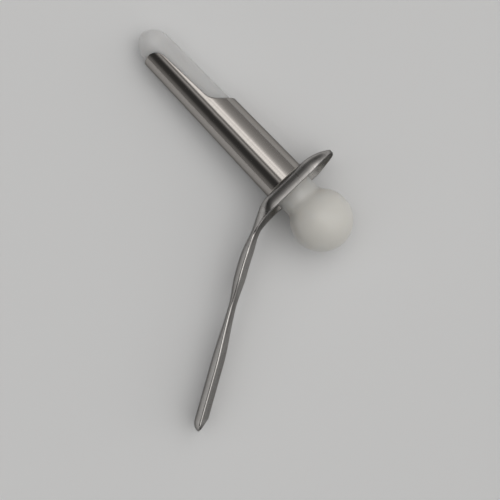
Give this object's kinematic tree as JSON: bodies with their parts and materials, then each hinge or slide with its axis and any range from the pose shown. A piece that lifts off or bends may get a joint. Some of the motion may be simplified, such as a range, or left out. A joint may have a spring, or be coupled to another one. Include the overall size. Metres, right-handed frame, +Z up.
{
  "type": "anoscope",
  "caption": "Slotted steel anoscope: tapered barrel brazed into a pressed mouth dish and handle, with a white plastic obturator ending in a ball knob.",
  "frame": {"origin": "centre of the barrel's mouth, on its axis in the far face of the plate", "axes": "+X along the barrel from its tip towards the knob, tipped up 4.7 degrees towards the knob; +Y towards the slot and the lip; +Z up, as the instrument lies on a table"},
  "size_m": [0.1607, 0.1411, 0.0356],
  "materials": {
    "polished_steel": "polished",
    "satin_steel": "satin",
    "silver_braze": "satin",
    "white_plastic": "milky gloss"
  },
  "bodies": {
    "speculum": {"barrel": "polished_steel", "handle_plate": "satin_steel", "braze_fillet": "silver_braze"},
    "obturator": {"obturator": "white_plastic"}
  },
  "joints": [
    {"name": "obturator_slide", "type": "slide", "parent": "speculum", "child": "obturator", "axis": [0.9966, 0, 0.0822], "range_m": [0, 0.12]}
  ]
}
